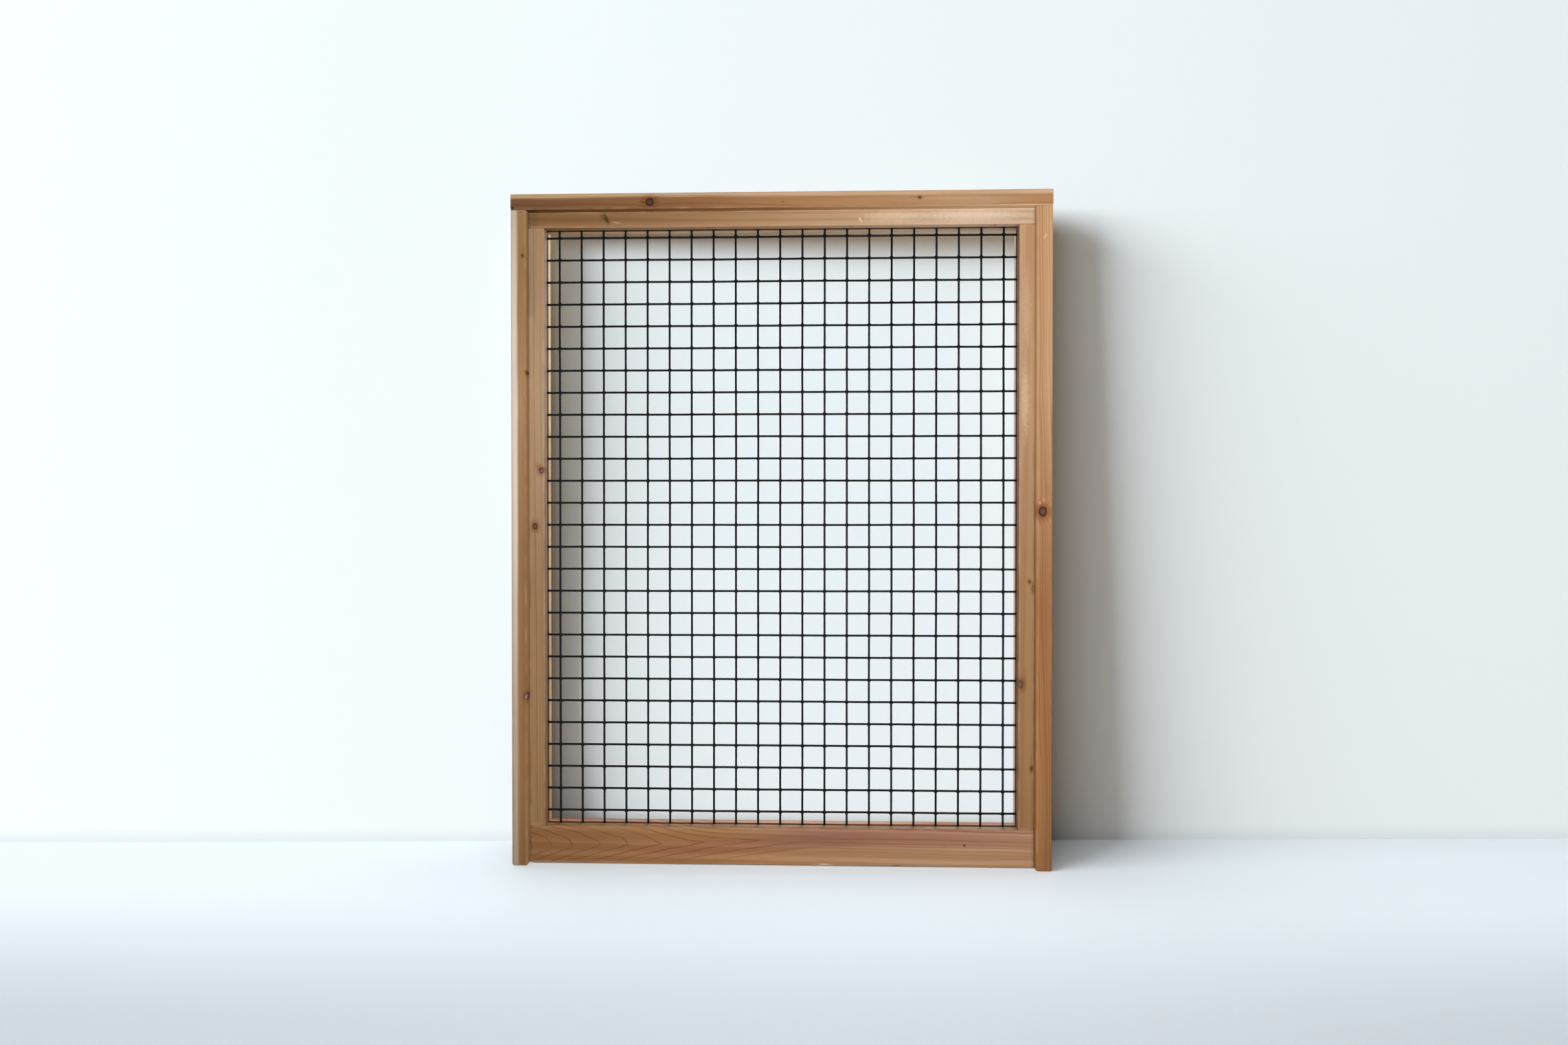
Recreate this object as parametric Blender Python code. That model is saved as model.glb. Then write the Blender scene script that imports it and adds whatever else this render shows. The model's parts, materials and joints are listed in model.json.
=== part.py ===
# Wire mesh held in the grooves of a cedar frame, with a rim on three sides: a hive's excluder board.
# Metres, +Z up. The board stands on the ends of its outer stiles at Z = 0, and its front faces -Y.

import math

import bmesh
import bpy

# Wire mesh: upright wires in front, cross wires welded behind them
WIRE_DIAMETER = 0.0016
WIRE_PITCH = 0.01695
UPRIGHT_WIRES = 21
CROSS_WIRES = 27
WIRE_SIDES = 12
WELD_GAP = 0.0002

# From the axes of the outermost wires to the edges of the opening
SIDE_MARGIN = 0.0097
TOP_MARGIN = 0.0051
BOTTOM_MARGIN = 0.0092

# Inner frame: four strips with a groove for the wires' ends
INNER_DEPTH = 0.019
INNER_STILE_WIDTH = 0.012
TOP_RAIL_HEIGHT = 0.012
BOTTOM_RAIL_HEIGHT = 0.0284
GROOVE_DEPTH = 0.006
GROOVE_CLEARANCE = 0.0002
TONGUE_SHOULDER = 0.001
INNER_ARRIS = 0.0006

# Outer rim: two stiles and a cap, flush with the inner frame at the back and proud of it at the front
RIM_PROUD = 0.0065
OUTER_STILE_WIDTH = 0.012
CAP_HEIGHT = 0.012
STILE_ROUND = 0.0018
CAP_ARRIS = 0.0008
TOE_DROP = 0.0006

# Brads driven from the opening through the inner frame into the rim
BRAD_DIAMETER = 0.0014
BRAD_HEAD_DIAMETER = 0.0024
BRAD_HEAD_THICKNESS = 0.0008
BRAD_POINT = 0.002
BRAD_BITE = 0.008
BRAD_SETBACK = 0.003
BRAD_SIDES = 12
CAP_BRADS = 4
CAP_BRAD_PITCH = 0.108
STILE_BRAD_RISE = 0.051

# Touching pieces keep this gap, and a cutter overshoots the face it starts from by this much
FIT_GAP = 0.0003
CUT_OVERSHOOT = 0.001
ROUND_STEPS = 3

# Widths, from the middle outwards
opening_width = (UPRIGHT_WIRES - 1) * WIRE_PITCH + 2 * SIDE_MARGIN
opening_side = opening_width / 2
rim_side = opening_side + INNER_STILE_WIDTH
overall_side = rim_side + OUTER_STILE_WIDTH

# Heights, from the floor upwards
rail_base = TOE_DROP
opening_base = rail_base + BOTTOM_RAIL_HEIGHT
lowest_wire = opening_base + BOTTOM_MARGIN
highest_wire = lowest_wire + (CROSS_WIRES - 1) * WIRE_PITCH
opening_top = highest_wire + TOP_MARGIN
cap_base = opening_top + TOP_RAIL_HEIGHT
overall_height = cap_base + CAP_HEIGHT

# Depths, from the front to the back
rim_depth = INNER_DEPTH + RIM_PROUD
inner_front = RIM_PROUD - rim_depth / 2
inner_middle = inner_front + INNER_DEPTH / 2
groove_width = 2 * WIRE_DIAMETER + WELD_GAP + 2 * GROOVE_CLEARANCE
layer_offset = (WIRE_DIAMETER + WELD_GAP) / 2

QUARTER_TURN = math.pi / 2


def clear_scene():
    for item in list(bpy.data.objects):
        bpy.data.objects.remove(item, do_unlink=True)


def linear(channel):
    share = channel / 255
    return share / 12.92 if share <= 0.04045 else ((share + 0.055) / 1.055) ** 2.4


def make_material(name, colour, roughness, metallic=0.0):
    material = bpy.data.materials.new(name)
    material.use_nodes = True
    surface = material.node_tree.nodes["Principled BSDF"]
    surface.inputs["Base Color"].default_value = (*[linear(channel) for channel in colour], 1)
    surface.inputs["Roughness"].default_value = roughness
    surface.inputs["Metallic"].default_value = metallic
    return material


def make_empty(name, location, parent=None):
    empty = bpy.data.objects.new(name, None)
    empty.location = location
    empty.parent = parent
    bpy.context.scene.collection.objects.link(empty)
    return empty


def place(name, mesh, material, parent, location, rotation=(0, 0, 0)):
    if not mesh.materials:
        mesh.materials.append(material)
    piece = bpy.data.objects.new(name, mesh)
    piece.parent = parent
    piece.location = location
    piece.rotation_euler = rotation
    bpy.context.scene.collection.objects.link(piece)
    return piece


def finish_mesh(name, shape):
    bmesh.ops.recalc_face_normals(shape, faces=shape.faces)
    mesh = bpy.data.meshes.new(name)
    shape.to_mesh(mesh)
    shape.free()
    mesh.shade_smooth()
    mesh.set_sharp_from_angle(angle=math.radians(35))
    return mesh


def rounded_corner(across, deep, radius, start):
    # Points of a quarter circle that eases the corner at (across, deep), which lies start + 45 degrees outwards
    middle = start + QUARTER_TURN / 2
    reach = radius * math.sqrt(2)
    centre_across = across - reach * math.cos(middle)
    centre_deep = deep - reach * math.sin(middle)
    points = []
    for step in range(ROUND_STEPS + 1):
        angle = start + QUARTER_TURN * step / ROUND_STEPS
        points.append((centre_across + radius * math.cos(angle), centre_deep + radius * math.sin(angle)))
    return points


def grooved_outline(width):
    # Cross-section of an inner strip: across runs from the rim (0) to the opening (width), deep from front to back
    half = INNER_DEPTH / 2
    groove_floor = width - GROOVE_DEPTH
    outline = rounded_corner(0, -half, INNER_ARRIS, 2 * QUARTER_TURN)
    outline += rounded_corner(width, -half, INNER_ARRIS, 3 * QUARTER_TURN)
    outline += [(width, -groove_width / 2), (groove_floor, -groove_width / 2)]
    outline += [(groove_floor, groove_width / 2), (width, groove_width / 2)]
    outline += rounded_corner(width, half, INNER_ARRIS, 0)
    outline += rounded_corner(0, half, INNER_ARRIS, QUARTER_TURN)
    return outline


def grooved_strip(name, width, length):
    # The cross-section extruded along local Z, with the strip's middle at Z = 0
    shape = bmesh.new()
    section = [shape.verts.new((across, deep, -length / 2)) for across, deep in grooved_outline(width)]
    end = shape.faces.new(section)
    grown = bmesh.ops.extrude_face_region(shape, geom=[end])["geom"]
    moved = [part for part in grown if isinstance(part, bmesh.types.BMVert)]
    bmesh.ops.translate(shape, verts=moved, vec=(0, 0, length))
    return finish_mesh(name, shape)


def bar(name, size, radius, rounds_edge):
    # A box centred on its origin, with the edges that rounds_edge picks eased to the radius
    shape = bmesh.new()
    bmesh.ops.create_cube(shape, size=1)
    bmesh.ops.scale(shape, verts=shape.verts, vec=size)
    picked = [edge for edge in shape.edges if rounds_edge(edge)]
    bmesh.ops.bevel(shape, geom=picked, offset=radius, segments=ROUND_STEPS, profile=0.5, affect="EDGES")
    return finish_mesh(name, shape)


def turned(name, profile):
    # A profile of (radius, height) points, from axis to axis, turned about local Z
    shape = bmesh.new()
    points = [shape.verts.new((radius, 0, height)) for radius, height in profile]
    edges = [shape.edges.new(pair) for pair in zip(points, points[1:])]
    bmesh.ops.spin(
        shape,
        geom=points + edges,
        cent=(0, 0, 0),
        axis=(0, 0, 1),
        angle=4 * QUARTER_TURN,
        steps=BRAD_SIDES,
        use_merge=True,
    )
    bmesh.ops.remove_doubles(shape, verts=shape.verts, dist=1e-6)
    return finish_mesh(name, shape)


def brad_profile(length):
    head = BRAD_HEAD_DIAMETER / 2
    shank = BRAD_DIAMETER / 2
    return [
        (0, 0),
        (head, 0),
        (head, BRAD_HEAD_THICKNESS),
        (shank, BRAD_HEAD_THICKNESS),
        (shank, length - BRAD_POINT),
        (0, length),
    ]


def brad_hole_profile(length):
    head = BRAD_HEAD_DIAMETER / 2 + FIT_GAP
    shank = BRAD_DIAMETER / 2 + FIT_GAP
    seat = BRAD_HEAD_THICKNESS + FIT_GAP
    floor = length + FIT_GAP
    return [(0, -CUT_OVERSHOOT), (head, -CUT_OVERSHOOT), (head, seat), (shank, seat), (shank, floor), (0, floor)]


def union(piece, tool):
    add_boolean(piece, tool, "UNION")


def cut(piece, tool):
    add_boolean(piece, tool, "DIFFERENCE")


def add_boolean(piece, tool, operation):
    tool.hide_render = True
    tool.display_type = "WIRE"
    step = piece.modifiers.new(tool.name, "BOOLEAN")
    step.operation = operation
    step.solver = "EXACT"
    step.object = tool


def build_inner_frame(parent):
    stile_cedar = make_material("cedar_inner_stiles", (172, 134, 98), 0.62)
    rail_cedar = make_material("cedar_top_rail", (168, 130, 94), 0.6)
    bottom_cedar = make_material("cedar_bottom_rail", (152, 110, 80), 0.6)
    frame = make_empty("inner_frame", (0, inner_middle, 0), parent)

    rail_length = 2 * (rim_side - FIT_GAP)
    mesh = grooved_strip("top_rail", TOP_RAIL_HEIGHT - FIT_GAP, rail_length)
    turned_down = (0, QUARTER_TURN, 0)
    top_rail = place("top_rail", mesh, rail_cedar, frame, (0, 0, cap_base - FIT_GAP), turned_down)
    mesh = grooved_strip("bottom_rail", BOTTOM_RAIL_HEIGHT, rail_length)
    place("bottom_rail", mesh, bottom_cedar, frame, (0, 0, rail_base), (0, -QUARTER_TURN, 0))

    stile_middle = (opening_base + opening_top) / 2
    stile_length = opening_top - opening_base - 2 * FIT_GAP
    stile_width = INNER_STILE_WIDTH - FIT_GAP
    tongue_width = stile_width - GROOVE_DEPTH - 2 * TONGUE_SHOULDER
    tongue_length = stile_length + 2 * GROOVE_DEPTH
    tongue_size = (tongue_width, groove_width - 2 * FIT_GAP, tongue_length)
    stiles = {}
    for side, sign in (("left", -1), ("right", 1)):
        name = side + "_inner_stile"
        location = (sign * (rim_side - FIT_GAP), 0, stile_middle)
        facing = (0, 0, 0) if sign < 0 else (0, 0, 2 * QUARTER_TURN)
        stile = place(name, grooved_strip(name, stile_width, stile_length), stile_cedar, frame, location, facing)
        tongue_mesh = bar(side + "_tongues", tongue_size, 0, lambda edge: False)
        tongue_place = (TONGUE_SHOULDER + tongue_width / 2, 0, 0)
        tongues = place(side + "_tongues", tongue_mesh, stile_cedar, stile, tongue_place)
        union(stile, tongues)
        stiles[side] = stile
    return top_rail, stiles


def runs_along(edge, axis):
    first, second = edge.verts
    return abs((first.co - second.co)[axis]) > 1e-9


def build_outer_rim(parent):
    left_cedar = make_material("cedar_left_outer_stile", (166, 136, 104), 0.62)
    right_cedar = make_material("cedar_right_outer_stile", (170, 126, 88), 0.62)
    cap_cedar = make_material("cedar_cap", (162, 120, 84), 0.6)
    rim = make_empty("outer_rim", (0, 0, 0), parent)

    # The stiles are eased along their length and round their lower ends, which stand on the floor
    stile_length = cap_base - FIT_GAP
    size = (OUTER_STILE_WIDTH, rim_depth, stile_length)
    stiles = {}
    for side, sign, cedar in (("left", -1, left_cedar), ("right", 1, right_cedar)):
        name = side + "_outer_stile"
        mesh = bar(name, size, STILE_ROUND, lambda edge: runs_along(edge, 2) or edge.verts[0].co.z < 0)
        location = (sign * (overall_side - OUTER_STILE_WIDTH / 2), 0, stile_length / 2)
        stiles[side] = place(name, mesh, cedar, rim, location)

    size = (2 * overall_side, rim_depth, CAP_HEIGHT)
    mesh = bar("top_cap", size, CAP_ARRIS, lambda edge: True)
    cap = place("top_cap", mesh, cap_cedar, rim, (0, 0, cap_base + CAP_HEIGHT / 2))
    return cap, stiles


def build_mesh_panel(parent):
    coated_wire = make_material("black_coated_wire", (20, 22, 24), 0.42)
    panel = make_empty("mesh_panel", (0, inner_middle, 0), parent)
    held = GROOVE_DEPTH - FIT_GAP

    upright_mesh = wire_mesh("upright_wire", opening_top - opening_base + 2 * held)
    for index in range(UPRIGHT_WIRES):
        name = "upright_wire_%02d" % (index + 1)
        across = SIDE_MARGIN - opening_side + index * WIRE_PITCH
        place(name, upright_mesh, coated_wire, panel, (across, -layer_offset, (opening_base + opening_top) / 2))

    cross_mesh = wire_mesh("cross_wire", opening_width + 2 * held)
    for index in range(CROSS_WIRES):
        name = "cross_wire_%02d" % (index + 1)
        height = lowest_wire + index * WIRE_PITCH
        place(name, cross_mesh, coated_wire, panel, (0, layer_offset, height), (0, QUARTER_TURN, 0))


def wire_mesh(name, length):
    shape = bmesh.new()
    radius = WIRE_DIAMETER / 2
    bmesh.ops.create_cone(
        shape, cap_ends=True, segments=WIRE_SIDES, radius1=radius, radius2=radius, depth=length
    )
    return finish_mesh(name, shape)


def build_brads(parent, cap, outer_stiles, top_rail, inner_stiles):
    steel = make_material("darkened_steel", (62, 50, 42), 0.45, 0.8)
    brads = make_empty("brads", (0, inner_front + BRAD_SETBACK, 0), parent)

    # Upwards through the top rail into the cap, spread evenly about the middle
    length = TOP_RAIL_HEIGHT + BRAD_BITE
    for index in range(CAP_BRADS):
        name = "cap_brad_%d" % (index + 1)
        across = (index - (CAP_BRADS - 1) / 2) * CAP_BRAD_PITCH
        drive_brad(name, length, steel, brads, (across, 0, opening_top), (0, 0, 0), (top_rail, cap))

    # Outwards through the right inner stile into the rim beside it
    length = INNER_STILE_WIDTH + BRAD_BITE
    head = (opening_side, 0, opening_base + STILE_BRAD_RISE)
    holders = (inner_stiles["right"], outer_stiles["right"])
    drive_brad("stile_brad", length, steel, brads, head, (0, QUARTER_TURN, 0), holders)


def drive_brad(name, length, steel, parent, head, direction, holders):
    place(name, turned(name, brad_profile(length)), steel, parent, head, direction)
    hole_mesh = turned(name + "_hole", brad_hole_profile(length))
    hole = place(name + "_hole", hole_mesh, steel, parent, head, direction)
    for holder in holders:
        cut(holder, hole)


clear_scene()
board = make_empty("excluder_board", (0, 0, 0))
rail, sides = build_inner_frame(board)
top, rim_stiles = build_outer_rim(board)
build_mesh_panel(board)
build_brads(board, top, rim_stiles, rail, sides)
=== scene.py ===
import json
import math

import bmesh
import bpy
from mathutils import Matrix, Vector

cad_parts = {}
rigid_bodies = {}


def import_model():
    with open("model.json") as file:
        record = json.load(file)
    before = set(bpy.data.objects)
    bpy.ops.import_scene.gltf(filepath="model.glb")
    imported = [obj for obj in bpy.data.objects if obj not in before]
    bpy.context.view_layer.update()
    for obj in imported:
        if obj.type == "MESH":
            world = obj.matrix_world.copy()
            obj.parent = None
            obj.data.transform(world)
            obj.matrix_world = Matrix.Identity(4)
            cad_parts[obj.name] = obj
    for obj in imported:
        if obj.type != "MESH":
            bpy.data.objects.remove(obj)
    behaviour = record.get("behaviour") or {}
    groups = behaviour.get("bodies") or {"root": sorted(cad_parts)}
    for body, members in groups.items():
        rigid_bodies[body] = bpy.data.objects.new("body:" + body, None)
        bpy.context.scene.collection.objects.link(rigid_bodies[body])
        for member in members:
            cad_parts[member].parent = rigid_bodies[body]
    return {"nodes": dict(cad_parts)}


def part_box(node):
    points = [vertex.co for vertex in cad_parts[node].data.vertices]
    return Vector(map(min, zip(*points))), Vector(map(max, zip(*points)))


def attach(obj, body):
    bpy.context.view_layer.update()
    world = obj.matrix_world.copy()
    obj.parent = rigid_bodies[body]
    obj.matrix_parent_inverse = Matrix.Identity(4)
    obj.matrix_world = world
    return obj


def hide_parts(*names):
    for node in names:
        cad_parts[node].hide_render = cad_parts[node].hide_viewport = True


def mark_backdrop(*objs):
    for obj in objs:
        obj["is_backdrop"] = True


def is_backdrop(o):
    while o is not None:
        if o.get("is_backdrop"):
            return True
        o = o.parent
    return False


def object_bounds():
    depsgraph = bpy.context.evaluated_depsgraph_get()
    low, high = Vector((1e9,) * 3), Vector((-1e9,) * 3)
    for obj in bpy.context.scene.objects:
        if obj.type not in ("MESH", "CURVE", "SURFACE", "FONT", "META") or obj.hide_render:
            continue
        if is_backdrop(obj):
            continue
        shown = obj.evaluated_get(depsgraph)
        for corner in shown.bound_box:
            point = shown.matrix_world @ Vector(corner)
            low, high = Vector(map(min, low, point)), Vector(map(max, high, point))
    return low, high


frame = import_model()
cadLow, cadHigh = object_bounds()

mm = 0.001
hairline = 1e-5         # closer than this counts as the same place
shortEdge = 1e-4        # edges longer than this run along a piece
mostly = 0.9            # share of a length or a facing that counts as all of it
print("frame loaded,", len(frame["nodes"]), "nodes")


# Picking and opening pieces

def clearPicks():
    if bpy.context.object and bpy.context.object.mode != "OBJECT":
        bpy.ops.object.mode_set(mode="OBJECT")
    bpy.ops.object.select_all(action="DESELECT")


def takeUp(piece):
    clearPicks()
    piece.select_set(True)
    bpy.context.view_layer.objects.active = piece


def openPiece(piece):
    takeUp(piece)
    bpy.ops.object.mode_set(mode="EDIT")
    bpy.ops.mesh.select_all(action="SELECT")


def startPiece():
    # the primitive just added, settled and opened
    piece = bpy.context.object
    settle(piece)
    openPiece(piece)
    return piece


def pickEdges(piece, test):
    bpy.ops.mesh.select_mode(type="EDGE")
    bpy.ops.mesh.select_all(action="DESELECT")
    shape = bmesh.from_edit_mesh(piece.data)
    for edge in shape.edges:
        first, second = (corner.co for corner in edge.verts)
        edge.select_set(test((first + second) / 2, second - first))
    bmesh.update_edit_mesh(piece.data)


def pickFaces(piece, test):
    bpy.ops.mesh.select_mode(type="FACE")
    bpy.ops.mesh.select_all(action="DESELECT")
    shape = bmesh.from_edit_mesh(piece.data)
    for face in shape.faces:
        face.select_set(test(face.calc_center_median(), face.normal))
    bmesh.update_edit_mesh(piece.data)


def near(value, target):
    return abs(value - target) < hairline


def settle(piece):
    # object to the origin, its place in the mesh, as the frame's own nodes are
    takeUp(piece)
    bpy.ops.object.transform_apply(location=True, rotation=True, scale=True)


def sealMesh(piece):
    openPiece(piece)
    bpy.ops.mesh.remove_doubles(threshold=hairline / 10)
    bpy.ops.mesh.normals_make_consistent(inside=False)
    clearPicks()


def applyStep(piece, step):
    takeUp(piece)
    bpy.ops.object.modifier_apply(modifier=step.name)


def cutAcross(place, direction):
    bpy.ops.mesh.select_all(action="SELECT")
    bpy.ops.mesh.bisect(plane_co=place, plane_no=direction)


def drawOut(reach):
    bpy.ops.mesh.extrude_region_move(TRANSFORM_OT_translate={"value": reach})


def easeEdges(offset, steps):
    bpy.ops.mesh.bevel(offset=offset, segments=steps, affect="EDGES")


def unevenFaces(piece, noiseName, noiseSize, depth, direction="NORMAL", middle=1.0):
    # clouds push the surface, only inwards while the middle is 1
    clouds = bpy.data.textures.get(noiseName) or bpy.data.textures.new(noiseName, "CLOUDS")
    clouds.noise_scale = noiseSize
    step = piece.modifiers.new(noiseName, "DISPLACE")
    step.texture = clouds
    step.direction = direction
    step.strength = depth
    step.mid_level = middle
    applyStep(piece, step)


def softShade(piece, angle):
    takeUp(piece)
    bpy.ops.object.shade_smooth_by_angle(angle=math.radians(angle))


def finishPiece(piece, name, nodes, material):
    piece.name = name
    piece.data.name = name
    piece.data.materials.clear()
    piece.data.materials.append(material)
    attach(piece, "root")
    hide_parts(*nodes)


# Shader nodes, made in the tree that is on the desk
desk = {"tree": None}


def tint(red, green, blue):
    # screen values into linear light, by the standard curve
    def linear(channel):
        share = channel / 255
        return share / 12.92 if share <= 0.04045 else ((share + 0.055) / 1.055) ** 2.4
    return (linear(red), linear(green), linear(blue), 1)


def newNode(kind):
    return desk["tree"].nodes.new(kind)


def feed(value, socket):
    if isinstance(value, bpy.types.NodeSocket):
        desk["tree"].links.new(value, socket)
    else:
        socket.default_value = value


def sumNode(kind, operation, values):
    node = newNode(kind)
    node.operation = operation
    for socket, value in zip(node.inputs, values):
        feed(value, socket)
    return node


def calc(operation, *values, clamp=False):
    node = sumNode("ShaderNodeMath", operation, values)
    node.use_clamp = clamp
    return node.outputs[0]


def times(first, second):
    return calc("MULTIPLY", first, second)


def plus(first, second):
    return calc("ADD", first, second)


def minus(first, second):
    return calc("SUBTRACT", first, second)


def lifted(value, least):
    # 0 becomes the least and 1 stays
    return calc("MULTIPLY_ADD", value, 1 - least, least)


def vectorCalc(operation, *values):
    results = sumNode("ShaderNodeVectorMath", operation, values).outputs
    return results["Value" if operation in ("LENGTH", "DOT_PRODUCT") else "Vector"]


def ease(value, low, high):
    node = newNode("ShaderNodeMapRange")
    node.interpolation_type = "SMOOTHSTEP"
    feed(value, node.inputs["Value"])
    feed(low, node.inputs["From Min"])
    feed(high, node.inputs["From Max"])
    return node.outputs["Result"]


def mixTint(share, first, second, mode="MIX"):
    node = newNode("ShaderNodeMix")
    node.data_type = "RGBA"
    node.blend_type = mode
    # sockets by number, because each data type has its own A, B and result
    feed(share, node.inputs[0])
    feed(first, node.inputs[6])
    feed(second, node.inputs[7])
    return node.outputs[2]


def covered(share, colour, tone):
    return mixTint(share, colour, tint(*tone))


def stained(share, colour, tone):
    # the tone soaks in and the colour under it still shows
    return mixTint(share, colour, mixTint(1.0, colour, tint(*tone), "MULTIPLY"))


def brighten(colour, amount):
    node = sumNode("ShaderNodeVectorMath", "SCALE", [colour])
    feed(amount, node.inputs["Scale"])
    return node.outputs["Vector"]


def noise(place, grain, detail=2.0):
    # grain is how many cells of noise a metre holds, one number for all axes or three
    node = newNode("ShaderNodeTexNoise")
    grains = grain if isinstance(grain, tuple) else (grain, grain, grain)
    feed(vectorCalc("MULTIPLY", place, grains), node.inputs["Vector"])
    node.inputs["Scale"].default_value = 1.0
    node.inputs["Detail"].default_value = detail
    return node.outputs["Fac"]


def swing(mask, amount):
    # 0.5 stays put, 0 and 1 swing by half the amount
    return times(minus(mask, 0.5), amount)


def swayed(value, mask, amount):
    return plus(value, swing(mask, amount))


def parts(vector):
    node = newNode("ShaderNodeSeparateXYZ")
    feed(vector, node.inputs[0])
    return node.outputs["X"], node.outputs["Y"], node.outputs["Z"]


def turnedTo(vector, centre, turn):
    node = newNode("ShaderNodeMapping")
    node.vector_type = "TEXTURE"
    feed(vector, node.inputs["Vector"])
    node.inputs["Location"].default_value = centre
    node.inputs["Rotation"].default_value = [math.radians(angle) for angle in turn]
    return node.outputs["Vector"]


def toneRamp(share, tones):
    node = newNode("ShaderNodeValToRGB")
    stops = node.color_ramp.elements
    stops.remove(stops[1])
    stops[0].position = tones[0][0]
    stops[0].color = tint(*tones[0][1])
    for place, colour in tones[1:]:
        stops.new(place).color = tint(*colour)
    feed(share, node.inputs["Fac"])
    return node.outputs["Color"]


def newGroup(name, vectors, values, results):
    # sockets by their names, with spaces between them
    tree = bpy.data.node_groups.new(name, "ShaderNodeTree")
    sockets = ((vectors, "INPUT", "Vector"), (values, "INPUT", "Float"), (results, "OUTPUT", "Float"))
    for labels, side, kind in sockets:
        for label in labels.split():
            tree.interface.new_socket(label, in_out=side, socket_type="NodeSocket" + kind)
    desk["tree"] = tree
    return newNode("NodeGroupInput").outputs, newNode("NodeGroupOutput").inputs


def useGroup(name, **values):
    node = newNode("ShaderNodeGroup")
    node.node_tree = bpy.data.node_groups[name]
    for label, value in values.items():
        feed(value, node.inputs[label])
    return node.outputs


def newPaint(name):
    material = bpy.data.materials.new(name)
    material.use_nodes = True
    desk["tree"] = material.node_tree
    return material, material.node_tree.nodes["Principled BSDF"]


def finishPaint(surface, look, colour, rough, height):
    feed(colour, surface.inputs["Base Color"])
    feed(rough, surface.inputs["Roughness"])
    feed(look["specular"], surface.inputs["Specular IOR Level"])
    bump = newNode("ShaderNodeBump")
    feed(look["bump"], bump.inputs["Strength"])
    feed(look["bumpDepth"], bump.inputs["Distance"])
    feed(height, bump.inputs["Height"])
    feed(bump.outputs["Normal"], surface.inputs["Normal"])


# Wood effects that all boards share; a pair of numbers is where an effect starts and where it is full
ringLook = {
    "wanderGrain": (7, 50, 50),
    "drift": 0.45,
    "rise": (0.1, 0.92),
    "sharpness": 2.6,
    "fall": (1.0, 0.93),
    "faintest": 0.3,
    "bandDrift": 0.3,
    "band": (0.4, 0.6),
}
fibreLook = {"streak": ((14, 700, 700), 3.0), "fleck": ((160, 2600, 2600), 2.0), "patch": ((9, 60, 60), 2.0)}
knotLook = {
    "edgeGrain": 600,
    "ragged": 0.5,
    "core": (1.08, 0.85),
    "halo": (3.2, 0.9),
    "swirl": (4.0, 0.6),
    "rimInside": (0.6, 0.9),
    "rimOutside": (1.25, 1.0),
    "crackGrain": 1100,
    "crack": (0.48, 0.62),
}
spotLook = {"edgeGrain": 420, "gritGrain": 1500, "grit": (0.42, 0.66)}
wearLook = {"grain": (60, 160, 160), "patchy": (0.35, 0.7)}


def makeLogRings():
    # how many growth rings a point is from the pith, which runs along X
    given, result = newGroup("logRings", "place", "ringWidth wander swirl", "rings")
    across = vectorCalc("MULTIPLY", given["place"], (0, 1, 1))
    waver = noise(given["place"], ringLook["wanderGrain"])
    radius = swayed(vectorCalc("LENGTH", across), waver, given["wander"])
    radius = plus(radius, given["swirl"])
    feed(calc("DIVIDE", radius, given["ringWidth"]), result["rings"])


def ringNoise(rings, scale):
    node = newNode("ShaderNodeTexNoise")
    node.noise_dimensions = "1D"
    feed(rings, node.inputs["W"])
    node.inputs["Scale"].default_value = scale
    return node.outputs["Fac"]


def makeRingMarks():
    # pale early wood darkening into a late line, some rings stronger than others, and broad darker bands
    given, result = newGroup("ringMarks", "", "rings uneven", "late band wide")
    rings = swayed(given["rings"], ringNoise(given["rings"], ringLook["drift"]), given["uneven"])
    step = calc("FRACT", rings)
    rise = calc("POWER", ease(step, *ringLook["rise"]), ringLook["sharpness"])
    late = times(rise, ease(step, *ringLook["fall"]))
    each = newNode("ShaderNodeTexWhiteNoise")
    each.noise_dimensions = "1D"
    feed(calc("FLOOR", rings), each.inputs["W"])
    feed(times(late, lifted(each.outputs["Value"], ringLook["faintest"])), result["late"])
    feed(each.outputs["Value"], result["band"])
    feed(ease(ringNoise(given["rings"], ringLook["bandDrift"]), *ringLook["band"]), result["wide"])


def makeFibre():
    # long fine streaks, short fine flecks and broad uneven patches along X
    given, result = newGroup("cedarFibre", "place", "", "streak fleck patch")
    for label, (grain, detail) in fibreLook.items():
        feed(noise(given["place"], grain, detail), result[label])


def raggedReach(given, grain, ragged):
    # 0 in the middle and 1 at the given half size, made ragged by noise
    reach = vectorCalc("LENGTH", vectorCalc("DIVIDE", given["place"], given["size"]))
    return swayed(reach, noise(given["place"], grain), ragged)


def makeKnot():
    # a branch stub: core, the cracks in it, dark rim, stained halo, and how far the rings bend round it
    given, result = newGroup("cedarKnot", "place size", "", "core crack rim halo swirl")
    reach = raggedReach(given, knotLook["edgeGrain"], knotLook["ragged"])
    for label in ("core", "halo", "swirl"):
        feed(ease(reach, *knotLook[label]), result[label])
    rim = times(ease(reach, *knotLook["rimInside"]), ease(reach, *knotLook["rimOutside"]))
    feed(rim, result["rim"])
    cracks = noise(given["place"], knotLook["crackGrain"], detail=3.0)
    feed(ease(cracks, *knotLook["crack"]), result["crack"])


def makeSpot():
    # a patch of that half size round its own middle, with a soft and ragged edge, and a grit to break it up
    given, result = newGroup("cedarSpot", "place size", "soft ragged", "patch grit")
    reach = raggedReach(given, spotLook["edgeGrain"], given["ragged"])
    feed(ease(reach, 1.0, minus(1.0, given["soft"])), result["patch"])
    grit = noise(given["place"], spotLook["gritGrain"], detail=1.0)
    feed(ease(grit, *spotLook["grit"]), result["grit"])


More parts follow.
